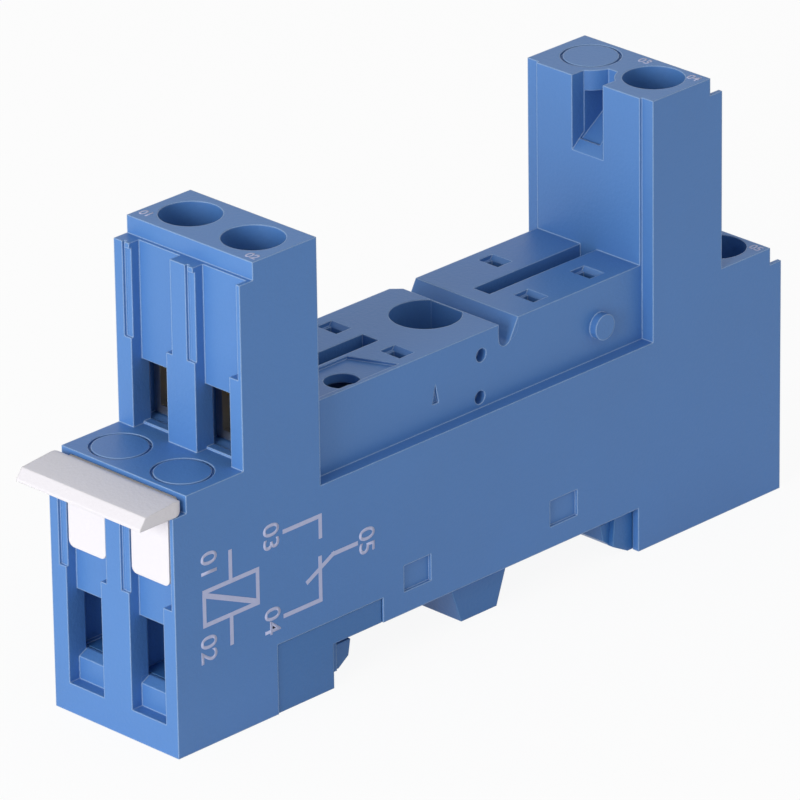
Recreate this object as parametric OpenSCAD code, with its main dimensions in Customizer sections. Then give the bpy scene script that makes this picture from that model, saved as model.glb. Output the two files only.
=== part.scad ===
// Socket for a plug-in relay with blade pins, for a 35 mm rail or a panel screw.
// The origin is on the panel screw's axis, at the height of the feet.

/* [Body] */
// Overall length along the rail's cross direction
length = 78.6; // [70:0.1:90]
// Overall width, one module on the rail
width = 15.8; // [12:0.1:22]
// Height of the tower tops above the feet
tower_top = 44.4; // [38:0.1:52]
// Height of the lower terminal decks
deck_top = 25; // [22:0.1:30]
// Height of the platforms that the relay sits on
platform_top = 27.9; // [24:0.1:32]
// Width of the platforms
platform_w = 13; // [10:0.1:15]
// Height of the narrow ledges beside the platforms
ledge_top = 20.5; // [16:0.1:24]
// Height of the face that rests on the rail
seat_z = 4.4; // [3:0.1:6]

/* [Towers] */
// Outer face of the left tower
left_face_x = 8.65; // [6:0.05:12]
// Relay side of the left tower
left_back_x = 18.1; // [16:0.1:22]
// Relay side of the right tower
right_back_x = 61.2; // [56:0.1:66]
// Outer face of the right tower
right_face_x = 70.45; // [66:0.05:74]
// How far the right tower's middle panel stands proud
panel_proud = 0.3; // [0.1:0.05:0.6]
// Depth of the step under each tower top and deck edge
strip_depth = 1.65; // [1:0.05:2.5]
// Height of that step
strip_h = 1.7; // [1:0.1:3]

/* [Terminals] */
// Distance between the two terminals of a pair
pitch = 7.9; // [6:0.1:10]
// Diameter of the driver holes
driver_d = 5.8; // [4:0.1:7]
// Bottom of the lower wire windows
low_window_z = 5.7; // [5:0.1:8]
// Bottom of the upper wire windows
high_window_z = 25.2; // [22:0.1:30]
// Height of a wire window
window_h = 6.1; // [4:0.1:8]
// Screw axis of the left lower pair
left_low_x = 5.03; // [4:0.01:7]
// Screw axis of the left tower pair
left_high_x = 14.28; // [12:0.01:16]
// Screw axis of the right tower pair
right_high_x = 65.5; // [63:0.1:68]
// Screw axis of the right lower pair
right_low_x = 73.9; // [72:0.1:76]
// Depth of the wire channels in the end faces
channel_depth = 1.24; // [0.8:0.02:2]

/* [Clamps] */
// Thread diameter of the clamp screws
thread_d = 3; // [2:0.5:4]
// Head diameter of the clamp screws
head_d = 5.2; // [4:0.1:6.5]
// Head height of the clamp screws
head_h = 2; // [1:0.1:3]
// Width of a clamp cage across the pair
cage_w = 5.8; // [4.5:0.1:6.5]
// Length of a clamp cage along the wire
cage_l = 4.4; // [3:0.1:6]
// Sheet thickness of a clamp cage
cage_t = 0.8; // [0.5:0.1:1.2]
// Thickness of the contact strips
strip_t = 0.7; // [0.4:0.1:1]
// Width of the contact strips
strip_w = 2.4; // [1.6:0.1:3.2]

/* [Rail and panel] */
// Panel screw axis from the left end
screw_x = 39.5; // [36:0.1:43]
// Diameter of the panel screw hole
panel_hole_d = 3.4; // [3:0.1:5]
// Diameter of the access hole above it
access_d = 6.7; // [5:0.1:9]
// Left side of the rail gap
gap_x0 = 19.5; // [16:0.1:24]
// Right side of the rail gap
gap_x1 = 59.2; // [54:0.1:64]

/* [Hidden] */
$fn = 48;
wall = 1.2;
fit = 0.1;              // clearance between mouldings that meet
slide_fit = 0.05;       // clearance of a sliding guide
overlap = 1;            // how far a cutter runs past a face
side = width / 2;
plat = platform_w / 2;
term_y = pitch / 2;
thread_r = thread_d / 2;
cage_bore_r = thread_r + slide_fit;
driver_r = driver_d / 2;

// heights above a wire window's bottom edge
cage_foot = 0.05;
cage_roof = 6.2;
cage_roof_t = 1.2;
strip_level = 4.2;
chamber_h = 11;
shoulder = 12.1;
head_seat = 12.2;

plate_z0 = seat_z;
plate_z1 = seat_z + wall;
cavity_y = side - 1.3;
upper_cavity_y = plat - wall;
web_y = 0.8;
chamber_hw = 3.1;
chamber_front = 2.15;
tower_room_x = left_back_x - 0.75;
right_room_x = right_back_x + 1.15;
low_room_x = right_low_x - 2.97;
duct_z = 20.95;
fork_top = 26.5;
fork_base = 1.15;

// contact slots in the platforms
coil_slot_x = 31.8;
break_slot_x = 49.1;
common_slot_x = 52.7;
make_slot_x = 56.5;
slot_y = 4;

groove_x0 = 42.3;
groove_x1 = 44.85;
key_y = 1.03;

panel_x0 = 12.5;
panel_x1 = 25.6;
panel_z = 6.75;
panel_in = 0.15;        // how far the flank panels lie below the flank
latch_back = 8;
latch_hw = 6.7;
latch_stop = 20.9;
latch_top = 4.3;
guide_z = 0.8;
pocket_x0 = 2.5;
spring_z = 2.3;
spring_r = 1.25;

// ---------- helpers ----------

// moves the model from the left end to the panel screw's axis
module placed() translate([-screw_x, 0, 0]) children();

module block(x, y, z)
    translate([x[0], y[0], z[0]]) cube([x[1] - x[0], y[1] - y[0], z[1] - z[0]]);

// extrudes an outline in X and Z along Y
module side_prism(points, y)
    translate([0, y[1], 0]) rotate([90, 0, 0]) linear_extrude(y[1] - y[0]) polygon(points);

// extrudes an outline in X and Y upwards
module flat_prism(points, z)
    translate([0, 0, z[0]]) linear_extrude(z[1] - z[0]) polygon(points);

module post(x, y, r, z)
    translate([x, y, z[0]]) cylinder(r = r, h = z[1] - z[0]);

// a pin or hole along Y
module cross_post(x, z, r, y)
    translate([x, y[1], z]) rotate([90, 0, 0]) cylinder(r = r, h = y[1] - y[0]);

module both_sides() {
    children();
    mirror([0, 1, 0]) children();
}

// mirrors left-end shapes onto the end whose face is at face_x
module from_face(face_x, right_end)
    translate([face_x, 0, 0]) mirror([right_end ? 1 : 0, 0, 0]) children();

// ---------- housing ----------

module outline_solid() {
    side_prism([[0, 0], [length, 0], [length, deck_top - strip_h],
                [length - strip_depth + 0.15, deck_top - strip_h],
                [length - strip_depth + 0.15, deck_top], [right_face_x, deck_top],
                [right_face_x, tower_top - strip_h],
                [right_face_x - strip_depth + 0.05, tower_top - strip_h],
                [right_face_x - strip_depth + 0.05, tower_top], [right_back_x, tower_top],
                [right_back_x, ledge_top], [left_back_x, ledge_top], [left_back_x, tower_top],
                [left_face_x + strip_depth, tower_top],
                [left_face_x + strip_depth, tower_top - strip_h],
                [left_face_x, tower_top - strip_h], [left_face_x, deck_top],
                [strip_depth, deck_top], [strip_depth, deck_top - strip_h],
                [0, deck_top - strip_h]], [-side, side]);
    // raised platforms with a bevelled far corner
    flat_prism([[left_back_x - overlap, -plat], [right_back_x + overlap, -plat],
                [right_back_x + overlap, plat], [groove_x0, plat],
                [left_back_x - overlap, plat]], [ledge_top - overlap, platform_top]);
    block([right_back_x - panel_proud, right_back_x + overlap], [-plat, plat],
          [ledge_top - overlap, tower_top]);
}

// the two wire channels of an end face, with their windows
module end_channels(bottom, zone, top, window) {
    low_far = [1.55, 6];
    low_near = [-6.4, -2.05];
    high_far = [0.8, 6];
    high_near = [-7.47, -2.05];
    depth = [-overlap, channel_depth];
    block(depth, low_far, [bottom, zone + 0.01]);
    block(depth, low_near, [bottom, zone + 0.01]);
    block(depth, high_far, [zone, top + 0.01]);
    block(depth, high_near, [zone, top + 0.01]);
    block([0, chamber_front + 0.1], low_far, [window, window + window_h]);
    block([0, chamber_front + 0.1], low_near, [window, window + window_h]);
    // fine grooves in the ribs
    block([-overlap, 0.3], [-1.4, -1.1], [zone, top + 0.01]);
    block([-overlap, 0.3], [6.55, 6.85], [zone, top + 0.01]);
}

module low_channels() end_channels(2.9, 14.3, deck_top - strip_h, low_window_z);

module high_channels() end_channels(deck_top, 33.6, tower_top - strip_h, high_window_z);

// the room of one terminal: x is its extent along the housing
module chamber(x, y, window)
    block(x, [y - chamber_hw, y + chamber_hw], [window - fit, window + chamber_h]);

// driver hole above a populated terminal, with the screw's neck below it
module driver_hole(x, y, window, top) {
    post(x, y, driver_r, [window + shoulder, top + overlap]);
    post(x, y, thread_r + 0.3, [window + chamber_h - overlap, window + shoulder + overlap]);
}

// circle moulded over a terminal that has no clamp
module blank_ring(x, y, top)
    translate([x, y, top - 0.3]) difference() {
        cylinder(r = 2.85, h = 1);
        translate([0, 0, -0.5]) cylinder(r = 2.6, h = 2);
    }

// duct that leads a strip out of a tower room; x runs from the room to the cavity
module strip_duct(x_drop, x_run, y) {
    w = strip_w / 2 + fit;
    block(x_drop, [y - w, y + w], [duct_z - fit, high_window_z]);
    block(x_run, [y - w, y + w], [duct_z - fit, duct_z + strip_t + fit]);
}

module inner_cavity() {
    difference() {
        union() {
            block([left_face_x + 0.25, low_room_x - 0.73], [-cavity_y, cavity_y],
                  [plate_z0, ledge_top - wall]);
            block([left_back_x + 0.8, right_back_x - 1.1], [-upper_cavity_y, upper_cavity_y],
                  [plate_z1, platform_top - wall]);
        }
        block([0, length], [-web_y, web_y], [plate_z1, platform_top]);
        post(screw_x, 0, access_d / 2 + 1.1, [plate_z1, platform_top]);
        block([left_back_x, 33.25], [-key_y - 0.8, key_y + 0.8], [19.9, platform_top]);
        block([45.95, right_back_x], [-key_y - 0.8, key_y + 0.8], [19.9, platform_top]);
    }
    // seat of the base cover
    block([pocket_x0, 76.3], [-cavity_y, cavity_y], [plate_z0 - overlap, plate_z1]);
}

module contact_slot(x, y)
    block([x - 0.6, x + 0.6], [y - 1, y + 1], [platform_top - 2 * wall, platform_top + overlap]);

module platform_openings() {
    // rounded groove between the two platforms
    groove_r = (groove_x1 - groove_x0) / 2;
    groove_z = 25.9 + groove_r;
    cross_post((groove_x0 + groove_x1) / 2, groove_z, groove_r, [-plat - overlap, plat + overlap]);
    block([groove_x0, groove_x1], [-plat - overlap, plat + overlap],
          [groove_z, platform_top + overlap]);
    post(screw_x, 0, access_d / 2, [plate_z1 - overlap, platform_top + overlap]);
    block([left_back_x, 32.45], [-key_y, key_y], [20.8, platform_top + overlap]);
    block([46.75, right_back_x - panel_proud], [-key_y, key_y], [20.8, platform_top + overlap]);
    contact_slot(coil_slot_x, slot_y);
    contact_slot(coil_slot_x, -slot_y);
    contact_slot(common_slot_x, slot_y);
    contact_slot(break_slot_x, -slot_y);
    contact_slot(make_slot_x, -slot_y);
    // shallow pocket and test hole beside the left tower
    flat_prism([[left_back_x, -6], [30, -6], [28, -1.4], [left_back_x, -1.4]],
               [platform_top - 0.3, platform_top + overlap]);
    post(24.3, -4.5, 1.65, [platform_top - 1, platform_top + overlap]);
}

// catch pocket in the relay side of the right tower
module catch_pocket() {
    x0 = right_back_x - panel_proud;
    difference() {
        side_prism([[x0 - overlap, 37], [x0, 37], [64.3, 40], [64.3, tower_top + overlap],
                    [x0 - overlap, tower_top + overlap]], [-1.9, 2]);
        post(right_high_x, term_y, driver_r + 0.7, [30, tower_top + 2 * overlap]);
        post(right_high_x, -term_y, driver_r + 0.7, [30, tower_top + 2 * overlap]);
    }
}

module flank_marks() {
    block([28.4, 31.85], [-side - overlap, -side + 0.3], [6.5, 9.1]);
    block([47.4, 51], [-side - overlap, -side + 0.3], [6.5, 9.1]);
}

module housing() color("#6F95C8") placed() difference() {
    union() {
        outline_solid();
        both_sides() cross_post(55.45, 23.7, 1.25, [-plat - 0.8, -plat + 0.5]);
    }
    // rail gap, latch pocket and hollow right foot
    block([gap_x0, gap_x1], [-side - overlap, side + overlap], [-overlap, seat_z]);
    block([pocket_x0, gap_x0 + overlap], [-latch_hw - fit, latch_hw + fit], [-overlap, seat_z]);
    block([gap_x1 - overlap, length - wall], [-side + 0.75, side - 0.75], [-overlap, seat_z]);
    both_sides() block([panel_x0 - fit, panel_x1 + fit], [-side - overlap, -cavity_y + 0.01],
                       [-overlap, panel_z + fit]);
    inner_cavity();
    low_channels();
    from_face(left_face_x, false) high_channels();
    from_face(length, true) low_channels();
    from_face(right_face_x, true) high_channels();
    for (y = [-term_y, term_y]) {
        chamber([chamber_front, left_low_x + 3.07], y, low_window_z);
        chamber([left_face_x + chamber_front, tower_room_x], y, high_window_z);
        chamber([right_room_x, right_face_x - chamber_front], y, high_window_z);
        chamber([low_room_x, length - chamber_front], y, low_window_z);
        driver_hole(left_high_x, y, high_window_z, tower_top);
        driver_hole(right_low_x, y, low_window_z, deck_top);
        strip_duct([tower_room_x - strip_t - 2 * fit, tower_room_x],
                   [tower_room_x - strip_t - 2 * fit, left_back_x + 0.8 + fit], y);
        block([low_room_x - overlap, low_room_x + fit],
              [y - strip_w / 2 - slide_fit, y + strip_w / 2 + slide_fit],
              [low_window_z + strip_level - slide_fit,
               low_window_z + strip_level + strip_t + slide_fit]);
        blank_ring(left_low_x, y, deck_top);
    }
    driver_hole(right_high_x, -term_y, high_window_z, tower_top);
    blank_ring(right_high_x, term_y, tower_top);
    strip_duct([right_room_x, right_room_x + strip_t + 2 * fit],
               [right_back_x - 1.1 - fit, right_room_x + strip_t + 2 * fit], -term_y);
    platform_openings();
    catch_pocket();
    both_sides() flank_marks();
    // small moulding holes beside the access hole
    both_sides() {
        cross_post(40, 25.65, 0.65, [-plat - overlap, -plat + 1]);
        cross_post(39.8, 21.55, 0.65, [-plat - overlap, -plat + 1]);
    }
}

// ---------- base cover ----------

module base_cover() color("#2F6FA8") placed() difference() {
    union() {
        block([pocket_x0 + fit, 76.3 - fit], [-cavity_y + fit, cavity_y - fit],
              [plate_z0, plate_z1]);
        block([panel_x0, panel_x1], [-side + panel_in, side - panel_in], [plate_z0, plate_z1]);
        both_sides() {
            // flank panels with the latch's lower guides
            block([panel_x0, gap_x0], [-side + panel_in, -latch_hw - fit], [0, panel_z]);
            block([panel_x0, panel_x1], [-side + panel_in, -cavity_y], [plate_z0, panel_z]);
            block([panel_x0, gap_x0], [-side + panel_in, -latch_hw + 0.8], [0, guide_z]);
        }
        // tooth that fills the middle of the rail
        side_prism([[37.2, 0], [41.8, 0], [43.4, seat_z + 0.1], [35.6, seat_z + 0.1]],
                   [-6.4, 6.4]);
        // fixed hook for the rail's right edge
        side_prism([[56.3, seat_z + 0.1], [56.3, 3.4], [55.5, 3.4], [55.9, 1.7], [57.2, 0.7],
                    [58.6, 0], [61.5, 0], [61.5, seat_z + 0.1]], [-6.5, 6.5]);
    }
    post(screw_x, 0, panel_hole_d / 2, [-overlap, plate_z1 + overlap]);
}

// ---------- rail latch ----------

module rail_latch() color("#2B659C") placed() difference() {
    union() {
        side_prism([[latch_back, 0.3], [latch_stop - 2, 0.3], [latch_stop, 1.2],
                    [latch_stop, latch_top], [latch_back, latch_top]],
                   [-latch_hw + 0.9, latch_hw - 0.9]);
        block([latch_back, latch_stop], [-latch_hw, latch_hw],
              [guide_z + fit, latch_top]);
        // hook under the rail's left edge, with its lead-in slope
        side_prism([[latch_stop - 4, 0.3], [20.2, 0.3], [21.7, 1.7], [22.1, 3.3],
                    [latch_stop - 4, 3.3]], [-5.4, 5.4]);
    }
    // blind hole for the spring and slot for a screwdriver
    translate([latch_back - overlap, 0, spring_z]) rotate([0, 90, 0])
        cylinder(r = spring_r + 0.3, h = 2 + overlap);
    block([12.5, 15], [-2, 2], [-overlap, seat_z + overlap]);
}

// compression spring along X, drawn as separate level turns joined in one wire
module latch_spring() color("#C8CBD0") placed() {
    x0 = pocket_x0 + slide_fit;
    x1 = latch_back + 2 - slide_fit;
    turns = 5;
    wire_r = 0.22;
    step = (x1 - x0 - 2 * wire_r) / turns;
    for (i = [0 : turns])
        translate([x0 + wire_r + i * step, 0, spring_z]) rotate([0, 90, 0])
            rotate_extrude() translate([spring_r - wire_r, 0]) circle(r = wire_r, $fn = 16);
    translate([x0 + wire_r, 0, spring_z + spring_r - wire_r]) rotate([0, 90, 0])
        cylinder(r = wire_r * 0.8, h = step * turns, $fn = 16);
}

// ---------- marker tag ----------

module tag_tongue(y)
    hull() {
        block([0.02, 1.2], y, [18, 24]);
        block([0.02, 1.2], [y[0] + 1, y[1] - 1], [16.55, 24]);
    }

module marker_tag() color("#E6E3E6") placed() {
    rest = deck_top - strip_h + slide_fit;
    front = -3.9;
    lip = 0.75;
    back = strip_depth - slide_fit;
    hull() {
        block([front, back], [-side, side], [rest, rest + 0.35]);
        block([front + lip, back], [-side + lip, side - lip], [rest, deck_top - 0.5]);
    }
    tag_tongue([1.05, 5.84]);
    tag_tongue([-7.12, -2.16]);
}

// ---------- clamps ----------

module clamp_screw(x, y, window) color("#C3C7CC") placed() translate([x, y, window])
    difference() {
        union() {
            translate([0, 0, strip_level + strip_t + fit + 0.4])
                cylinder(r = thread_r, h = head_seat - strip_level - strip_t - fit);
            translate([0, 0, strip_level + strip_t + fit])
                cylinder(r1 = thread_r - 0.4, r2 = thread_r, h = 0.4);
            translate([0, 0, head_seat]) cylinder(r = head_d / 2, h = head_h - 0.3);
            translate([0, 0, head_seat + head_h - 0.3])
                cylinder(r1 = head_d / 2, r2 = head_d / 2 - 0.3, h = 0.3);
        }
        for (turn = [0, 90])
            rotate([0, 0, turn + 20]) translate([-1.9, -0.4, head_seat + head_h - 1.1])
                cube([3.8, 0.8, 2]);
    }

module clamp_cage(x, y, window) color("#B9BDC2") placed() translate([x, y, window])
    difference() {
        translate([-cage_l / 2, -cage_w / 2, cage_foot])
            cube([cage_l, cage_w, cage_roof + cage_roof_t - cage_foot]);
        translate([-cage_l, -cage_w / 2 + cage_t, cage_foot + cage_t])
            cube([2 * cage_l, cage_w - 2 * cage_t, cage_roof - cage_foot - cage_t]);
        translate([0, 0, cage_roof - overlap]) cylinder(r = cage_bore_r, h = 3 * overlap);
    }

// forked spring receptacle that grips a relay blade
module receptacle(x, y) {
    block([x - fork_base, x + fork_base], [y - strip_w / 2, y + strip_w / 2],
          [duct_z, duct_z + strip_t]);
    for (m = [0, 1]) translate([x, 0, 0]) mirror([m, 0, 0])
        side_prism([[0.65, duct_z], [1.15, duct_z], [1.15, 23.5], [0.75, 25.4], [1.1, fork_top],
                    [0.6, fork_top], [0.25, 25.4], [0.65, 23.5]],
                   [y - strip_w / 2, y + strip_w / 2]);
}

// strip from a tower clamp down the tower's back wall to a platform slot
module tower_strip(x_clamp, x_drop, x_slot, y) {
    z = high_window_z + strip_level;
    w = strip_w / 2;
    out = x_drop[0] > x_clamp;
    block(out ? [x_clamp - 1.9, x_drop[1]] : [x_drop[0], x_clamp + 1.9], [y - 1.8, y + 1.8],
          [z, z + strip_t]);
    block(x_drop, [y - w, y + w], [duct_z, z + strip_t]);
    block(out ? [x_drop[0], x_slot] : [x_slot, x_drop[1]], [y - w, y + w],
          [duct_z, duct_z + strip_t]);
    receptacle(x_slot, y);
}

// strip from a lower clamp along the floor and up to a platform slot
module floor_strip(x_slot, y) {
    z = low_window_z + strip_level;
    w = strip_w / 2;
    block([low_room_x + 0.3, right_low_x + 2], [y - 1.8, y + 1.8], [z, z + strip_t]);
    block([x_slot - strip_t / 2, right_low_x], [y - w, y + w], [z, z + strip_t]);
    block([x_slot - strip_t / 2, x_slot + strip_t / 2], [y - w, y + w], [z, duct_z + strip_t]);
    receptacle(x_slot, y);
}

drop_left = [tower_room_x - strip_t - fit, tower_room_x - fit];
drop_right = [right_room_x + fit, right_room_x + strip_t + fit];

module coil_screw_a() clamp_screw(left_high_x, -term_y, high_window_z);
module coil_screw_b() clamp_screw(left_high_x, term_y, high_window_z);
module make_screw() clamp_screw(right_high_x, -term_y, high_window_z);
module break_screw() clamp_screw(right_low_x, -term_y, low_window_z);
module common_screw() clamp_screw(right_low_x, term_y, low_window_z);

module coil_cage_a() clamp_cage(left_high_x, -term_y, high_window_z);
module coil_cage_b() clamp_cage(left_high_x, term_y, high_window_z);
module make_cage() clamp_cage(right_high_x, -term_y, high_window_z);
module break_cage() clamp_cage(right_low_x, -term_y, low_window_z);
module common_cage() clamp_cage(right_low_x, term_y, low_window_z);

module coil_strip_a() color("#C9A25A") placed()
    tower_strip(left_high_x, drop_left, coil_slot_x, -term_y);
module coil_strip_b() color("#C9A25A") placed()
    tower_strip(left_high_x, drop_left, coil_slot_x, term_y);
module make_strip() color("#C9A25A") placed()
    tower_strip(right_high_x, drop_right, make_slot_x, -term_y);
module break_strip() color("#C9A25A") placed() floor_strip(break_slot_x, -term_y);
module common_strip() color("#C9A25A") placed() floor_strip(common_slot_x, term_y);

housing();
base_cover();
rail_latch();
latch_spring();
marker_tag();
coil_screw_a();
coil_screw_b();
make_screw();
break_screw();
common_screw();
coil_cage_a();
coil_cage_b();
make_cage();
break_cage();
common_cage();
coil_strip_a();
coil_strip_b();
make_strip();
break_strip();
common_strip();
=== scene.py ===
"""Dresses the rail-mounted relay socket: finer mouldings, finishes, print, floor and camera."""

import logging
import math
from dataclasses import dataclass, field
from enum import Enum

import bpy
from mathutils import Matrix, Vector


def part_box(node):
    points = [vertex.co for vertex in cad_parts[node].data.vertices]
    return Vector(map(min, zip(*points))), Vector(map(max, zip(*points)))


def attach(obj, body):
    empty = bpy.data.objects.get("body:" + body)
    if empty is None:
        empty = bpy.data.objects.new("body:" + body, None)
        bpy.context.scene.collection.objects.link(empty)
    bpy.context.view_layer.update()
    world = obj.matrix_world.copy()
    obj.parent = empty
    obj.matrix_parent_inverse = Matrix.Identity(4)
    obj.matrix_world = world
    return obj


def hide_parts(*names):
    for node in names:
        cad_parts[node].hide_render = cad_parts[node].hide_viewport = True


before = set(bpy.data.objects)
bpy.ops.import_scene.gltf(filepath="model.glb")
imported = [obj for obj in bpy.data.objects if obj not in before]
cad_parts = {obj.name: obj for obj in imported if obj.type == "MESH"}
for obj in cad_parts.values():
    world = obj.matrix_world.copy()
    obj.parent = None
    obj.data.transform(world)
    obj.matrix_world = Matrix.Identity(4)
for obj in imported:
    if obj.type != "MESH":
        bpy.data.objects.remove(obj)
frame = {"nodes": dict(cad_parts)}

log = logging.getLogger("relay_socket")
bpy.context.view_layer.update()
MM = 0.001
LEFT_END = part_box("housing")[0].x
MERGE = 0.001 * MM              # corners closer than this are one corner


# ---------- small helpers ----------

def srgb(code: str) -> tuple[float, float, float, float]:
    """Turns an sRGB hex colour into linear RGBA.

    Args:
        code: The colour, such as "#4A70AE".

    Returns:
        Linear red, green and blue with an alpha of 1.
    """
    parts = [int(code[i:i + 2], 16) / 255 for i in (1, 3, 5)]
    linear = [c / 12.92 if c <= 0.04045 else ((c + 0.055) / 1.055) ** 2.4 for c in parts]
    return (*linear, 1.0)


def add_node(tree: bpy.types.NodeTree, kind: str, settings: dict | None = None,
             links: dict | None = None) -> bpy.types.Node:
    """Adds one shader node with its settings and its incoming links.

    Args:
        tree: The node tree to add to.
        kind: The node's type name.
        settings: Attribute names or input sockets to set, by name or index.
        links: Input sockets by name or index, each with the output socket that feeds it.

    Returns:
        The new node.
    """
    node = tree.nodes.new(kind)
    for key, value in (settings or {}).items():
        if isinstance(key, str) and hasattr(node, key):
            setattr(node, key, value)
        else:
            node.inputs[key].default_value = value
    for key, source in (links or {}).items():
        tree.links.new(source, node.inputs[key])
    return node


def seen_directly(tree: bpy.types.NodeTree) -> bpy.types.NodeSocket:
    """Adds the nodes that tell what is seen, mirrored or seen through from what only lights.

    Args:
        tree: The node tree to add to.

    Returns:
        A socket that is 1 for camera, glossy and transmission rays, and otherwise 0.
    """
    path = add_node(tree, "ShaderNodeLightPath")
    seen = add_node(tree, "ShaderNodeMath", {"operation": "MAXIMUM"},
                    {0: path.outputs["Is Camera Ray"], 1: path.outputs["Is Glossy Ray"]})
    seen = add_node(tree, "ShaderNodeMath", {"operation": "MAXIMUM"},
                    {0: seen.outputs["Value"], 1: path.outputs["Is Transmission Ray"]})
    return seen.outputs["Value"]


def deselect() -> None:
    """Leaves nothing selected, so that an operator acts on its own piece only."""
    if bpy.context.mode != "OBJECT":
        bpy.ops.object.mode_set(mode="OBJECT")
    bpy.ops.object.select_all(action="DESELECT")


def pick(*objs: bpy.types.Object) -> None:
    """Selects only the objects given and makes the first one active.

    Args:
        objs: The objects that the next operator acts on.
    """
    deselect()
    for obj in objs:
        obj.select_set(True)
    bpy.context.view_layer.objects.active = objs[0]


def new_material(name: str) -> tuple[bpy.types.Material, bpy.types.NodeTree, bpy.types.Node]:
    """Starts a node material.

    Args:
        name: The real material's name.

    Returns:
        The material, its node tree and its shader.
    """
    material = bpy.data.materials.new(name)
    material.use_nodes = True
    tree = material.node_tree
    return material, tree, tree.nodes["Principled BSDF"]


def dress(obj: bpy.types.Object, material: bpy.types.Material) -> None:
    """Puts one material on every face of a piece.

    Args:
        obj: The piece or CAD node.
        material: The finish.
    """
    slots = obj.material_slots
    if not slots:
        obj.data.materials.append(material)
    for slot in slots:
        slot.material = material


# ---------- finishes ----------

@dataclass(frozen=True)
class MouldedPlastic:
    """Injection-moulded polyamide with a spark-eroded grain and a painted highlight along its
    edges.

    The grain scatters the light and the flow of the melt gives faint clouds. A paler colour
    is mixed in along the edges: a painted highlight where the light catches them.
    """

    name: str
    colour: str
    # the paler colour of the painted highlight along the edges
    painted_edge_highlight_colour: str
    roughness: float = 0.45
    ior: float = 1.53
    specular: float = 0.4       # the spark-eroded skin scatters most of its gloss
    grain_mm: float = 0.35      # real grain is about 0.05 mm, drawn coarser so that it shows
    cloud_mm: float = 14.0
    # rounds the edges' shading and sets the width of their painted highlight
    edge_mm: float = 0.2
    grain_depth: float = 0.09
    grain_strength: float = 0.35
    cloud_shift: float = 0.07
    roughness_shift: float = 0.05
    # the painted edge highlight fades in between these likenesses and reaches this share
    edge_highlight_likeness: tuple[float, float] = (0.985, 0.78)  # where edges start and are full
    edge_highlight_share: float = 0.85

    def build(self) -> bpy.types.Material:
        """Builds the material.

        Returns:
            The finished material.
        """
        material, tree, shader = new_material(self.name)
        shader.inputs["IOR"].default_value = self.ior
        shader.inputs["Specular IOR Level"].default_value = self.specular
        place = add_node(tree, "ShaderNodeTexCoord").outputs["Object"]
        grain = add_node(tree, "ShaderNodeTexNoise",
                         {"Scale": 1 / (self.grain_mm * MM), "Detail": 2.0}, {"Vector": place})
        cloud = add_node(tree, "ShaderNodeTexNoise",
                         {"Scale": 1 / (self.cloud_mm * MM), "Detail": 3.0}, {"Vector": place})
        value = add_node(tree, "ShaderNodeMapRange",
                         {"To Min": 1 - self.cloud_shift, "To Max": 1 + self.cloud_shift},
                         {"Value": cloud.outputs["Fac"]})
        body = add_node(tree, "ShaderNodeHueSaturation", {"Color": srgb(self.colour)},
                        {"Value": value.outputs["Result"]})
        # mixes a painted highlight into the colour along the edges
        mix = add_node(tree, "ShaderNodeMix", {"data_type": "RGBA", 7: srgb(self.painted_edge_highlight_colour)},
                       {6: body.outputs["Color"], 0: self._edges(tree)})
        tree.links.new(mix.outputs[2], shader.inputs["Base Color"])
        rough = add_node(tree, "ShaderNodeMapRange",
                         {"To Min": self.roughness - self.roughness_shift,
                          "To Max": self.roughness + self.roughness_shift},
                         {"Value": cloud.outputs["Fac"]})
        tree.links.new(rough.outputs["Result"], shader.inputs["Roughness"])
        bump = add_node(tree, "ShaderNodeBump",
                        {"Strength": self.grain_strength, "Distance": self.grain_depth * MM},
                        {"Height": grain.outputs["Fac"]})
        soft = add_node(tree, "ShaderNodeBevel", {"samples": 6, "Radius": self.edge_mm * MM},
                        {"Normal": bump.outputs["Normal"]})
        tree.links.new(soft.outputs["Normal"], shader.inputs["Normal"])
        return material

    def _edges(self, tree: bpy.types.NodeTree) -> bpy.types.NodeSocket:
        """Adds the nodes that find the piece's edges, where a highlight is painted.

        Args:
            tree: The material's node tree.

        Returns:
            A socket that is 0 on flats and near 1 along edges: the share of the painted highlight.
        """
        flat = add_node(tree, "ShaderNodeNewGeometry").outputs["Normal"]
        soft = add_node(tree, "ShaderNodeBevel", {"samples": 6, "Radius": self.edge_mm * MM})
        likeness = add_node(tree, "ShaderNodeVectorMath", {"operation": "DOT_PRODUCT"},
                            {0: flat, 1: soft.outputs["Normal"]})
        highlight_mask = add_node(tree, "ShaderNodeMapRange",
                        {"From Min": self.edge_highlight_likeness[0], "From Max": self.edge_highlight_likeness[1],
                         "To Min": 0.0, "To Max": self.edge_highlight_share},
                        {"Value": likeness.outputs["Value"]})
        return highlight_mask.outputs["Result"]


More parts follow.
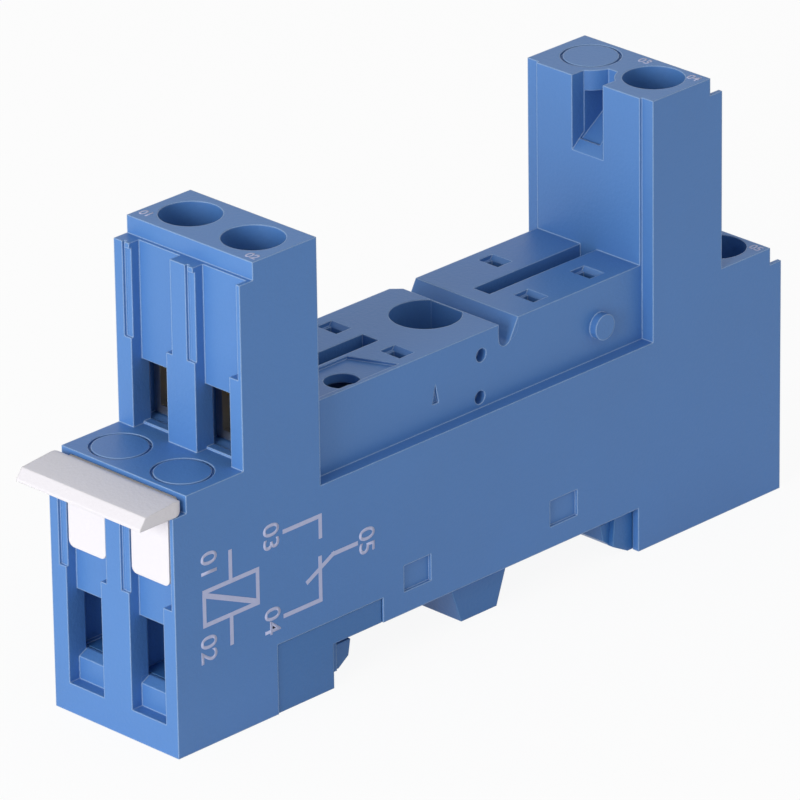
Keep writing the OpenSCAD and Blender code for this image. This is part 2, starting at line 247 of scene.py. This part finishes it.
@dataclass(frozen=True)
class PlatedMetal:
    """Stamped or turned metal with a thin plating and fine drawing lines."""

    name: str
    colour: str
    roughness: float
    line_mm: float = 0.12
    line_depth: float = 0.01
    line_strength: float = 0.4
    line_squash: float = 0.15
    stain_mm: float = 1.5
    stain_range: tuple[float, float] = (0.85, 1.08)
    roughness_shift: float = 0.08

    def build(self) -> bpy.types.Material:
        """Builds the material.

        Returns:
            The finished material.
        """
        material, tree, shader = new_material(self.name)
        shader.inputs["Metallic"].default_value = 1.0
        place = add_node(tree, "ShaderNodeTexCoord").outputs["Object"]
        stretch = add_node(tree, "ShaderNodeMapping", {"Scale": (1.0, self.line_squash, 1.0)},
                           {"Vector": place})
        lines = add_node(tree, "ShaderNodeTexNoise",
                         {"Scale": 1 / (self.line_mm * MM), "Detail": 2.0},
                         {"Vector": stretch.outputs["Vector"]})
        stain = add_node(tree, "ShaderNodeTexNoise",
                         {"Scale": 1 / (self.stain_mm * MM), "Detail": 3.0}, {"Vector": place})
        value = add_node(tree, "ShaderNodeMapRange",
                         {"To Min": self.stain_range[0], "To Max": self.stain_range[1]},
                         {"Value": stain.outputs["Fac"]})
        tint = add_node(tree, "ShaderNodeHueSaturation", {"Color": srgb(self.colour)},
                        {"Value": value.outputs["Result"]})
        tree.links.new(tint.outputs["Color"], shader.inputs["Base Color"])
        rough = add_node(tree, "ShaderNodeMapRange",
                         {"To Min": self.roughness - self.roughness_shift,
                          "To Max": self.roughness + self.roughness_shift},
                         {"Value": lines.outputs["Fac"]})
        tree.links.new(rough.outputs["Result"], shader.inputs["Roughness"])
        bump = add_node(tree, "ShaderNodeBump",
                        {"Strength": self.line_strength, "Distance": self.line_depth * MM},
                        {"Height": lines.outputs["Fac"]})
        tree.links.new(bump.outputs["Normal"], shader.inputs["Normal"])
        return material


@dataclass(frozen=True)
class PadInk:
    """Pad-printed ink: a thin matt layer, slightly uneven where it crosses the grain."""

    name: str
    colour: str
    roughness: float = 0.6
    speck_mm: float = 0.4
    speck_range: tuple[float, float] = (0.9, 1.03)

    def build(self) -> bpy.types.Material:
        """Builds the material.

        Returns:
            The finished material.
        """
        material, tree, shader = new_material(self.name)
        shader.inputs["Roughness"].default_value = self.roughness
        place = add_node(tree, "ShaderNodeTexCoord").outputs["Object"]
        speck = add_node(tree, "ShaderNodeTexNoise",
                         {"Scale": 1 / (self.speck_mm * MM), "Detail": 3.0}, {"Vector": place})
        value = add_node(tree, "ShaderNodeMapRange",
                         {"To Min": self.speck_range[0], "To Max": self.speck_range[1]},
                         {"Value": speck.outputs["Fac"]})
        tint = add_node(tree, "ShaderNodeHueSaturation", {"Color": srgb(self.colour)},
                        {"Value": value.outputs["Result"]})
        tree.links.new(tint.outputs["Color"], shader.inputs["Base Color"])
        return material


class Finish(Enum):
    """The finishes of the socket's pieces."""

    # The second colour of each moulded finish is a painted highlight along its edges.
    HOUSING = MouldedPlastic("moulded_polyamide_blue", "#4E7EBC", "#B5D2F2")
    COVER = MouldedPlastic("moulded_polyamide_deep_blue", "#3A70AE", "#6F9FD0", roughness=0.4)
    TAG = MouldedPlastic("moulded_polycarbonate_white", "#DFDCE1", "#F4F2F4", roughness=0.5,
                         ior=1.58, cloud_shift=0.02)
    SCREW = PlatedMetal("zinc_plated_turned_steel", "#C6CACF", 0.28)
    CAGE = PlatedMetal("zinc_plated_sheet_steel", "#B4B8BE", 0.38, line_mm=0.2)
    STRIP = PlatedMetal("stamped_brass", "#C9A663", 0.32, line_mm=0.2)
    SPRING = PlatedMetal("drawn_spring_wire", "#A9ACB1", 0.3)
    INK = PadInk("pad_printed_ink", "#B9BFE0")


class FinishShelf:
    """Builds each finish once and hands it out."""

    def __init__(self) -> None:
        """Starts with nothing built."""
        self._built: dict[Finish, bpy.types.Material] = {}

    def get(self, finish: Finish) -> bpy.types.Material:
        """Gives the material of a finish.

        Args:
            finish: The finish wanted.

        Returns:
            Its material, built at the first call.
        """
        if finish not in self._built:
            self._built[finish] = finish.value.build()
        return self._built[finish]


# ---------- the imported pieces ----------

@dataclass
class PackedPieces:
    """The moulded and metal pieces that come with the frame."""

    shelf: FinishShelf
    nodes: dict = field(default_factory=lambda: frame["nodes"])

    def finish_of(self, name: str) -> Finish:
        """Chooses a piece's finish by its name.

        Args:
            name: The node's name.

        Returns:
            The finish that the real piece has.
        """
        plain = {"housing": Finish.HOUSING, "base_cover": Finish.COVER,
                 "rail_latch": Finish.COVER, "marker_tag": Finish.TAG,
                 "latch_spring": Finish.SPRING}
        kinds = {"_screw": Finish.SCREW, "_cage": Finish.CAGE, "_strip": Finish.STRIP}
        if name in plain:
            return plain[name]
        return next(finish for key, finish in kinds.items() if key in name)

    def dress_all(self) -> None:
        """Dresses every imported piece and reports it."""
        for name, obj in self.nodes.items():
            finish = self.finish_of(name)
            dress(obj, self.shelf.get(finish))
            log.info("%s: %s", name, finish.value.name)


# ---------- mouldings made here ----------

def arc(u: float, v: float, radius: float, start: float, end: float,
        steps: int = 8) -> list[tuple[float, float]]:
    """Gives points of an arc in a profile.

    Args:
        u: The centre's first coordinate in millimetres.
        v: Its second coordinate.
        radius: The arc's radius in millimetres.
        start: The first point's angle in degrees.
        end: The last point's angle.
        steps: How many chords the arc has.

    Returns:
        The points from start to end.
    """
    angles = [math.radians(start + (end - start) * i / steps) for i in range(steps + 1)]
    return [(u + radius * math.cos(a), v + radius * math.sin(a)) for a in angles]


def prism(profile: list[tuple[float, float]], span: tuple[float, float],
          along: str = "Y") -> bpy.types.Object:
    """Extrudes a closed profile into a solid at its place.

    Args:
        profile: Corners across the extrusion, in millimetres from the housing's left end.
        span: Where the extrusion starts and ends, in millimetres.
        along: "Y" for a profile in X and Z, "X" for one in Y and Z, "Z" for one in X and Y.

    Returns:
        The closed solid.
    """
    spot = {"X": lambda u, v: (span[0], u, v), "Y": lambda u, v: (u, span[0], v),
            "Z": lambda u, v: (u, v, span[0])}[along]
    deselect()
    bpy.ops.mesh.primitive_circle_add(vertices=len(profile), radius=1.0, fill_type="NGON")
    obj = bpy.context.object
    for vertex, (u, v) in zip(obj.data.vertices, profile):
        vertex.co = Vector(spot(u, v)) * MM + Vector((LEFT_END, 0.0, 0.0))
    step = [(span[1] - span[0]) * MM if axis == along else 0.0 for axis in "XYZ"]
    bpy.ops.object.mode_set(mode="EDIT")
    bpy.ops.mesh.select_all(action="SELECT")
    bpy.ops.mesh.extrude_region_move(TRANSFORM_OT_translate={"value": step})
    bpy.ops.mesh.select_all(action="SELECT")
    bpy.ops.mesh.normals_make_consistent(inside=False)
    bpy.ops.object.mode_set(mode="OBJECT")
    return obj


def box_prism(x: tuple[float, float], y: tuple[float, float],
              z: tuple[float, float]) -> bpy.types.Object:
    """Makes a block.

    Args:
        x: Its range along the housing in millimetres from the left end.
        y: Its range across the housing.
        z: Its range above the feet.

    Returns:
        The closed block.
    """
    return prism([(x[0], z[0]), (x[1], z[0]), (x[1], z[1]), (x[0], z[1])], y)


def join(parts: list[bpy.types.Object], name: str) -> bpy.types.Object:
    """Joins solids into one object.

    Args:
        parts: The solids.
        name: The joined object's name.

    Returns:
        The joined object, the only one selected.
    """
    pick(*parts)
    if len(parts) > 1:
        bpy.ops.object.join()
    parts[0].name = name
    return parts[0]


@dataclass
class HousingDetail:
    """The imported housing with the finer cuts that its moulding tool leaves.

    Sizes are in millimetres from the housing's left end, its middle and its feet.
    """

    shelf: FinishShelf
    platform_top: float = 27.9
    over: float = 1.0                                   # how far a cut starts above its face
    groove: tuple = (42.31, 44.84)                      # across the bay, from x to x
    groove_round: tuple = (43.11, 26.4, 0.8)            # x, z and radius of its floor
    groove_reach: float = 8.0
    groove_fill: tuple = (6.49, 25.0)                   # half width and foot of the new floor
    fill_overlap: float = 0.1                           # past the groove's sides
    fill_drop: float = 0.02                             # below the platform's top
    slots: tuple = ((31.8, 4.0), (31.8, -4.0), (49.1, -4.0), (52.7, 4.0), (56.5, -4.0))
    slot_half: float = 0.6
    slot_reach: float = 1.25
    mouth_half: float = 0.95
    mouth_depth: float = 0.45
    test_hole: tuple = (24.3, -4.5, 1.66)               # x, y and radius
    test_hole_foot: float = 26.0
    test_hole_corners: int = 48
    catch: tuple = ((61.9, 37.6), (66, 40.4), (66, 42.4), (61.9, 42.4))
    catch_span: tuple = (-0.6, 1.95)
    arrow: tuple = ((33.7, 22.8), (34.5, 22.8), (34.1, 24.7))
    arrow_span: tuple = (7.5, 6.2)
    sill: tuple = ((1.14, 5.05), (2.2, 5.61), (2.2, 5.9), (1.14, 5.9))
    sill_spans: tuple = ((1.55, 6.0), (-6.4, -2.05))
    rib_grooves: tuple = ((-2.1, -1.38), (5.95, 6.57))  # from y to y on every end face
    rib_groove_depth: float = 0.25
    ends: tuple = ((0.0, 1, 14.3, 22.8), (8.65, 1, 33.6, 42.2),
                   (78.6, -1, 14.3, 22.8), (70.45, -1, 33.6, 42.2))  # x, inward, foot, top
    bay_corner: tuple = ((-1.0, 6.6), (0.1, 6.6), (0.1, 5.5))  # x from the groove, y
    bay_corner_span: tuple = (20.6, 29)
    gap: float = 0.01                                   # keeps cuts off the faces beside them

    def _copy(self) -> bpy.types.Object:
        """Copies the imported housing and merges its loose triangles.

        Returns:
            A closed mesh at the origin.
        """
        source = frame["nodes"]["housing"]
        obj = source.copy()
        obj.data = source.data.copy()
        obj.parent = None
        obj.matrix_world = Matrix.Identity(4)
        obj.name = "housing_moulding"
        bpy.context.scene.collection.objects.link(obj)
        pick(obj)
        if obj.data.has_custom_normals:
            bpy.ops.mesh.customdata_custom_splitnormals_clear()
        bpy.ops.object.mode_set(mode="EDIT")
        bpy.ops.mesh.select_all(action="SELECT")
        bpy.ops.mesh.remove_doubles(threshold=MERGE)
        bpy.ops.mesh.normals_make_consistent(inside=False)
        bpy.ops.object.mode_set(mode="OBJECT")
        return obj

    def _combine(self, obj: bpy.types.Object, tool: bpy.types.Object, operation: str) -> None:
        """Adds or takes away a tool's solid.

        Args:
            obj: The housing.
            tool: The solid, which is used up.
            operation: "UNION" or "DIFFERENCE".
        """
        pick(obj)
        change = obj.modifiers.new("change", "BOOLEAN")
        change.object = tool
        change.operation = operation
        change.solver = "EXACT"
        bpy.ops.object.modifier_apply(modifier=change.name)
        bpy.data.objects.remove(tool, do_unlink=True)

    def _cuts(self) -> list[bpy.types.Object]:
        """Makes the solids to be taken away.

        Returns:
            Closed solids, none of which meets another.
        """
        top, above = self.platform_top, self.platform_top + self.over
        left, right = self.groove
        x, z, radius = self.groove_round
        cuts = [prism([(left, above), *arc(x, z, radius, 180, 325, 10), (right, top),
                       (right, above)], (-self.groove_reach, self.groove_reach))]
        low, slot, mouth = top - self.mouth_depth, self.slot_half, self.mouth_half
        for x, y in self.slots:
            cuts.append(prism([(x - slot, low), (x + slot, low), (x + mouth, top),
                               (x + mouth, above), (x - mouth, above), (x - mouth, top)],
                              (y - self.slot_reach, y + self.slot_reach)))
        steps = self.test_hole_corners - 1
        ring = arc(*self.test_hole, 0, 360 * steps / self.test_hole_corners, steps)
        cuts.append(prism(ring, (self.test_hole_foot, above), "Z"))
        cuts.append(prism(list(self.catch), self.catch_span))
        for side in (-1, 1):
            span = sorted(side * y for y in self.arrow_span)
            cuts.append(prism(list(self.arrow), tuple(span)))
        for near, far in self.sill_spans:
            cuts.append(prism(list(self.sill), (near + self.gap, far - self.gap)))
        for face, inward, low, high in self.ends:
            span = tuple(sorted((face - inward, face + inward * self.rib_groove_depth)))
            for y in self.rib_grooves:
                cuts.append(box_prism(span, y, (low + self.gap, high)))
        return cuts

    def build(self) -> None:
        """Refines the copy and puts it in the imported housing's place."""
        obj = self._copy()
        before = len(obj.data.polygons)
        left, right = self.groove
        half, foot = self.groove_fill
        fill = box_prism((left - self.fill_overlap, right + self.fill_overlap), (-half, half),
                         (foot, self.platform_top - self.fill_drop))
        self._combine(obj, fill, "UNION")
        self._combine(obj, join(self._cuts(), "cuts"), "DIFFERENCE")
        corner = prism([(left + x, y) for x, y in self.bay_corner], self.bay_corner_span, "Z")
        self._combine(obj, corner, "DIFFERENCE")
        bpy.ops.object.mode_set(mode="EDIT")
        bpy.ops.mesh.select_all(action="SELECT")
        bpy.ops.mesh.remove_doubles(threshold=MERGE)
        bpy.ops.mesh.dissolve_degenerate(threshold=MERGE)
        bpy.ops.object.mode_set(mode="OBJECT")
        pick(obj)
        bpy.ops.object.shade_smooth_by_angle(angle=math.radians(25))
        dress(obj, self.shelf.get(Finish.HOUSING))
        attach(obj, "socket")
        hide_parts("housing")
        log.info("%s: %d faces from %d", obj.name, len(obj.data.polygons), before)


@dataclass
class Mouldings:
    """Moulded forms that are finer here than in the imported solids.

    Sizes are in millimetres from the housing's left end, its middle and its feet.
    """

    shelf: FinishShelf
    tag_front: float = -3.88
    tag_back: float = 1.6
    tag_under: float = 23.35
    tag_tops: tuple = (24.5, 24.95)                     # front and back
    tag_lip: tuple = (0.7, 0.25)                        # how far its top is set back, and its edge
    tag_half_width: float = 7.88
    tag_corner: float = 1.2
    tongues: tuple = ((0.85, 5.55), (-7.25, -2.5))
    tongue_foot: float = 16.55
    tongue_thickness: float = 1.2
    tongue_corner: float = 0.6
    tongue_root: float = 0.3                            # how far it reaches up into the plate
    tongue_inset: float = 0.03                          # behind the housing's end
    hook_flank: tuple = ((19.45, 0.92), (21.3, 0.92), (22.57, 1.8), (22.85, 3.35), (19.45, 3.35))
    hook_flank_span: tuple = (5.35, 6.5)
    hook_middle: tuple = ((19.45, 0.5), (20.6, 0.5), (21.25, 0.8), (22.57, 1.8),
                          (22.85, 3.35), (19.45, 3.35))
    hook_middle_half: float = 5.4
    cheek: tuple = ((56.9, 4.38), (56.65, 1.04), (58.6, 0.02), (61.0, 0.02), (61.0, 4.38))
    cheek_span: tuple = (6.4, 7.05)

    def _round_edges(self, obj: bpy.types.Object, near: list[tuple[float, float, float]],
                     radius: float, steps: int = 6, within: float = 0.3) -> None:
        """Rounds the edges whose middles lie at the places given.

        Args:
            obj: The piece.
            near: Middles of the edges in millimetres.
            radius: The rounding in millimetres.
            steps: How many strips each rounding has.
            within: How near an edge's middle has to be, in millimetres.
        """
        places = [Vector(n) * MM + Vector((LEFT_END, 0.0, 0.0)) for n in near]
        pick(obj)
        bpy.ops.object.mode_set(mode="EDIT")
        bpy.ops.mesh.select_all(action="DESELECT")
        bpy.ops.object.mode_set(mode="OBJECT")
        for edge in obj.data.edges:
            middle = sum((obj.data.vertices[v].co for v in edge.vertices), Vector()) / 2
            edge.select = any((middle - place).length < within * MM for place in places)
        bpy.ops.object.mode_set(mode="EDIT")
        bpy.ops.mesh.select_mode(type="EDGE")
        bpy.ops.mesh.bevel(offset=radius * MM, segments=steps, affect="EDGES")
        bpy.ops.mesh.select_mode(type="VERT")
        bpy.ops.object.mode_set(mode="OBJECT")

    def _finish(self, name: str, parts: list[bpy.types.Object], body: str,
                finish: Finish) -> bpy.types.Object:
        """Joins the parts of one moulding, dresses it and ties it to its body.

        Args:
            name: The piece's name.
            parts: Its solids.
            body: The body that it rides on.
            finish: Its finish.

        Returns:
            The finished piece.
        """
        obj = join(parts, name)
        bpy.ops.object.shade_smooth_by_angle(angle=math.radians(30))
        dress(obj, self.shelf.get(finish))
        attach(obj, body)
        log.info("%s: %d faces", name, len(obj.data.polygons))
        return obj

    def build_tag(self) -> None:
        """Builds the white label plate: a sloping front, rounded back corners, two tongues."""
        under, half = self.tag_under, self.tag_half_width
        top_front, top_back = self.tag_tops
        set_back, edge = self.tag_lip
        plate = prism([(self.tag_front, under), (self.tag_back, under),
                       (self.tag_back, top_back), (self.tag_front + set_back, top_front),
                       (self.tag_front, under + edge)], (-half, half))
        middle = (under + top_back) / 2
        self._round_edges(plate, [(self.tag_back, -half, middle), (self.tag_back, half, middle)],
                          self.tag_corner)
        parts = [plate]
        radius = self.tongue_corner
        for near, far in self.tongues:
            foot = self.tongue_foot + radius
            root = under + self.tongue_root
            profile = [(far, root), (near, root),
                       *arc(near + radius, foot, radius, 180, 270),
                       *arc(far - radius, foot, radius, 270, 360)]
            parts.append(prism(profile, (self.tongue_inset, self.tongue_thickness), along="X"))
        tag = self._finish("tag_plate", parts, "tag", Finish.TAG)
        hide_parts("marker_tag")

    def _pair(self, profile: tuple, reach: tuple[float, float]) -> list[bpy.types.Object]:
        """Makes one solid on each side of the middle.

        Args:
            profile: The corners in X and Z.
            reach: The nearest and the farthest distance from the middle.

        Returns:
            The two solids.
        """
        return [prism(list(profile), tuple(sorted(side * y for y in reach))) for side in (-1, 1)]

    def build_hooks(self) -> None:
        """Builds the outer strips of the latch's hook and the cheeks of the fixed hook."""
        strips = self._pair(self.hook_flank, self.hook_flank_span)
        half = self.hook_middle_half
        strips.append(prism(list(self.hook_middle), (-half, half)))
        self._finish("latch_hook_lip", strips, "latch", Finish.COVER)
        cheeks = self._pair(self.cheek, self.cheek_span)
        self._finish("fixed_hook_cheeks", cheeks, "socket", Finish.COVER)

    def build(self) -> None:
        """Builds the tag and the hooks' outer parts."""
        self.build_tag()
        self.build_hooks()


# ---------- the printed diagram ----------

@dataclass
class FlankPrint:
    """Circuit diagram and terminal numbers printed on the near flank.

    Places are in millimetres along the housing from its left end and up from its feet.
    """

    shelf: FinishShelf
    flank_y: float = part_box("housing")[0].y
    ink_mm: float = 0.02
    line_mm: float = 0.42
    digit_mm: float = 1.9
    top_digit_mm: float = 0.95
    bold_mm: float = 0.03       # how much the digits' outlines are thickened
    cap_share: float = 0.7      # a digit's height as a share of the type size
    layer_mm: float = 0.003     # each stroke lies this much over the one before
    slash: tuple = ((3.8, 14.65), (9.85, 12.05))
    slash_mm: float = 0.5
    coil: tuple = ((3.55, 11.8), (10.1, 11.8), (10.1, 15.05), (3.55, 15.05))
    leads: tuple = (((6.8, 15.05), (6.8, 17.9)), ((6.8, 11.8), (6.8, 9.05)))
    contact: tuple = (((13.5, 17.6), (17.95, 17.6), (17.95, 15.6)),
                      ((22.4, 13.35), (19.5, 13.35), (16.3, 11.7)),
                      ((17.85, 13.5), (17.85, 9.4), (13.4, 9.4)))
    digits: tuple = (("01", 4.1, 17.5), ("02", 3.9, 9.4), ("03", 11.75, 17.6),
                     ("04", 11.75, 9.4), ("05", 23.65, 13.2))
    deck_digits: tuple = (("01", 11.65, 6.85, 44.4), ("02", 11.3, -6.85, 44.4),
                          ("03", 67.9, -0.6, 44.4), ("04", 67.9, -6.7, 44.4),
                          ("05", 76.2, -6.9, 25.0))

    def _point(self, place: tuple[float, float]) -> Vector:
        """Turns a place on the flank into the row frame.

        Args:
            place: Millimetres along the housing and up from its feet.

        Returns:
            The point in metres.
        """
        return Vector((LEFT_END + place[0] * MM, self.flank_y, place[1] * MM))

    def _stroke(self, start: tuple[float, float], end: tuple[float, float],
                width: float, layer: int) -> bpy.types.Object:
        """Models one printed stroke with square ends.

        Args:
            start: Where the stroke's middle line starts.
            end: Where it ends.
            width: The line's width in millimetres.
            layer: How many strokes were printed before it.

        Returns:
            The stroke as a flat mesh on the flank.
        """
        lift = Vector((0.0, -layer * self.layer_mm * MM, 0.0))
        a, b = self._point(start) + lift, self._point(end) + lift
        run = b - a
        deselect()
        bpy.ops.mesh.primitive_plane_add(size=1.0, location=(0, 0, 0))
        obj = bpy.context.object
        bpy.ops.object.mode_set(mode="EDIT")
        bpy.ops.transform.resize(value=(run.length + width * MM, width * MM, 1.0))
        bpy.ops.object.mode_set(mode="OBJECT")
        lean = Matrix.Rotation(-math.atan2(run.z, run.x), 4, "Y")
        upright = Matrix.Rotation(math.pi / 2, 4, "X")
        obj.data.transform(Matrix.Translation((a + b) / 2) @ lean @ upright)
        return obj

    def _close(self, name: str, parts: list[bpy.types.Object]) -> bpy.types.Object:
        """Joins strokes or digits into one printed piece and gives it the ink's thickness.

        Args:
            name: The piece's name.
            parts: Flat meshes on the flank.

        Returns:
            The finished piece, riding on the socket.
        """
        obj = join(parts, name)
        thick = obj.modifiers.new("ink", "SOLIDIFY")
        thick.thickness = self.ink_mm * MM
        thick.offset = 0.0
        bpy.ops.object.modifier_apply(modifier=thick.name)
        dress(obj, self.shelf.get(Finish.INK))
        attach(obj, "socket")
        log.info("%s: %d faces", name, len(obj.data.polygons))
        return obj

    def _path(self, places: tuple, first_layer: int = 0,
              closed: bool = False) -> list[bpy.types.Object]:
        """Models a run of strokes.

        Args:
            places: The corners of the run.
            first_layer: How many strokes were printed before the run.
            closed: Whether it ends where it starts.

        Returns:
            One flat mesh per stroke.
        """
        ends = places[1:] + places[:1] if closed else places[1:]
        return [self._stroke(a, b, self.line_mm, first_layer + i)
                for i, (a, b) in enumerate(zip(places, ends))]

    def _number(self, text: str, height: float) -> bpy.types.Object:
        """Models one terminal number, flat on the ground and upright along Y.

        Args:
            text: The number.
            height: The digits' height in millimetres.

        Returns:
            The number as a flat mesh.
        """
        deselect()
        bpy.ops.object.text_add(location=(0, 0, 0))
        obj = bpy.context.object
        obj.data.body = text
        obj.data.size = height * MM / self.cap_share
        obj.data.align_x = "CENTER"
        obj.data.align_y = "CENTER"
        obj.data.offset = self.bold_mm * MM
        bpy.ops.object.convert(target="MESH")
        return bpy.context.object

    def _flank_number(self, text: str, x: float, z: float) -> bpy.types.Object:
        """Models a number on the flank that reads downwards.

        Args:
            text: The number.
            x: Its middle along the housing.
            z: Its middle above the feet.

        Returns:
            The number as a flat mesh on the flank.
        """
        obj = self._number(text, self.digit_mm)
        turned = Matrix.Rotation(math.pi / 2, 4, "X") @ Matrix.Rotation(-math.pi / 2, 4, "Z")
        obj.data.transform(Matrix.Translation(self._point((x, z))) @ turned)
        return obj

    def _deck_number(self, text: str, x: float, y: float, z: float) -> bpy.types.Object:
        """Models a number on a level face that reads from the housing's left end.

        Args:
            text: The number.
            x: Its middle along the housing.
            y: Its middle across the housing.
            z: The face's height above the feet.

        Returns:
            The number as a flat mesh on the face.
        """
        obj = self._number(text, self.top_digit_mm)
        place = Vector((LEFT_END + x * MM, y * MM, z * MM))
        obj.data.transform(Matrix.Translation(place) @ Matrix.Rotation(-math.pi / 2, 4, "Z"))
        return obj

    def build(self) -> None:
        """Builds the coil symbol, the contact symbol and the numbers."""
        coil = self._path(self.coil, closed=True)
        coil.append(self._stroke(*self.slash, self.slash_mm, len(coil)))
        for lead in self.leads:
            coil += self._path(lead, len(coil))
        self._close("print_coil", coil)
        contact: list[bpy.types.Object] = []
        for run in self.contact:
            contact += self._path(run, len(contact))
        self._close("print_contact", contact)
        self._close("print_numbers", [self._flank_number(*d) for d in self.digits])
        self._close("print_deck_numbers", [self._deck_number(*d) for d in self.deck_digits])


# ---------- floor, light and camera ----------

@dataclass
class Studio:
    """Pale floor, soft light and the camera."""

    floor_size: float = 3.0
    floor_colour: str = "#FFFFFF"
    floor_glow: float = 0.92
    fill_strength: float = 0.52
    key_power: float = 5.6
    key_place: tuple = (-0.8, -0.1, 0.19)
    key_size: float = 0.5
    key_target: tuple = (0, 0, 0.02)
    azimuth: float = -45.233                            # the camera's angles in degrees
    height: float = 23.852
    roll: float = -0.711
    distance: float = 0.7612
    target_mm: tuple = (40, 22)                         # from the left end, above the feet
    lens: float = 377.3
    sensor: float = 36.0
    shift: tuple = (-0.0376, -0.0346)

    def build_floor(self) -> None:
        """Adds the floor under the feet, bright to the camera but with the object's shadow."""
        deselect()
        bpy.ops.mesh.primitive_plane_add(size=self.floor_size, location=(0, 0, 0))
        floor = bpy.context.object
        floor.name = "floor"
        material, tree, shader = new_material("matt_white_board")
        shader.inputs["Base Color"].default_value = srgb(self.floor_colour)
        shader.inputs["Roughness"].default_value = 0.9
        shader.inputs["Specular IOR Level"].default_value = 0.0
        glow = add_node(tree, "ShaderNodeEmission", {"Color": srgb(self.floor_colour)})
        share = add_node(tree, "ShaderNodeMath", {"operation": "MULTIPLY", 1: self.floor_glow},
                         {0: seen_directly(tree)})
        mix = add_node(tree, "ShaderNodeMixShader", None,
                       {0: share.outputs["Value"], 1: shader.outputs["BSDF"],
                        2: glow.outputs["Emission"]})
        tree.links.new(mix.outputs["Shader"], tree.nodes["Material Output"].inputs["Surface"])
        dress(floor, material)

    def build_world(self) -> None:
        """Sets a white surround that lights the object softly and shows white in reflections."""
        world = bpy.data.worlds.new("white_surround")
        bpy.context.scene.world = world
        world.use_nodes = True
        tree = world.node_tree
        ground = tree.nodes["Background"]
        ground.inputs["Color"].default_value = (1.0, 1.0, 1.0, 1.0)
        level = add_node(tree, "ShaderNodeMapRange", {"To Min": self.fill_strength, "To Max": 1.0},
                         {"Value": seen_directly(tree)})
        tree.links.new(level.outputs["Result"], ground.inputs["Strength"])

    def _lamp(self, name: str, place: tuple[float, float, float], size: float,
              power: float) -> None:
        """Adds a square lamp that looks at the middle of the socket.

        Args:
            name: The lamp's name.
            place: Where it hangs, in metres.
            size: Its side in metres.
            power: Its power in watts.
        """
        data = bpy.data.lights.new(name, "AREA")
        data.size = size
        data.energy = power
        lamp = bpy.data.objects.new(name, data)
        bpy.context.scene.collection.objects.link(lamp)
        spot = Vector(place)
        turn = (Vector(self.key_target) - spot).to_track_quat("-Z", "Y").to_matrix().to_4x4()
        lamp.matrix_world = Matrix.Translation(spot) @ turn

    def build_lamps(self) -> None:
        """Adds one large soft lamp, low beyond the left end."""
        self._lamp("key", self.key_place, self.key_size, self.key_power)

    def build_camera(self) -> None:
        """Places a long-lens camera at the left front, a little above the deck."""
        azimuth, height, roll = map(math.radians, (self.azimuth, self.height, self.roll))
        along, above = self.target_mm
        target = Vector((LEFT_END + along * MM, 0.0, above * MM))
        ahead = Vector((-math.sin(azimuth) * math.cos(height),
                        math.cos(azimuth) * math.cos(height), -math.sin(height)))
        level = Vector((math.cos(azimuth), math.sin(azimuth), 0.0))
        upright = level.cross(ahead)
        right = math.cos(roll) * level + math.sin(roll) * upright
        up = -math.sin(roll) * level + math.cos(roll) * upright
        data = bpy.data.cameras.new("camera")
        data.sensor_fit = "HORIZONTAL"
        data.sensor_width = self.sensor
        data.lens = self.lens
        data.shift_x, data.shift_y = self.shift
        data.clip_start = 0.05
        data.clip_end = 20.0
        camera = bpy.data.objects.new("camera", data)
        bpy.context.scene.collection.objects.link(camera)
        turn = Matrix((right, up, -ahead)).transposed().to_4x4()
        camera.matrix_world = Matrix.Translation(target - ahead * self.distance) @ turn
        bpy.context.scene.camera = camera

    def build(self) -> None:
        """Builds the whole studio."""
        bpy.context.scene.view_settings.view_transform = "Standard"
        self.build_camera()
        self.build_floor()
        self.build_world()
        self.build_lamps()


def main() -> None:
    """Builds the classes in order."""
    logging.basicConfig(level=logging.INFO, format="%(message)s")
    shelf = FinishShelf()
    Studio().build()
    PackedPieces(shelf).dress_all()
    HousingDetail(shelf).build()
    Mouldings(shelf).build()
    FlankPrint(shelf).build()


if __name__ == "__main__":
    main()
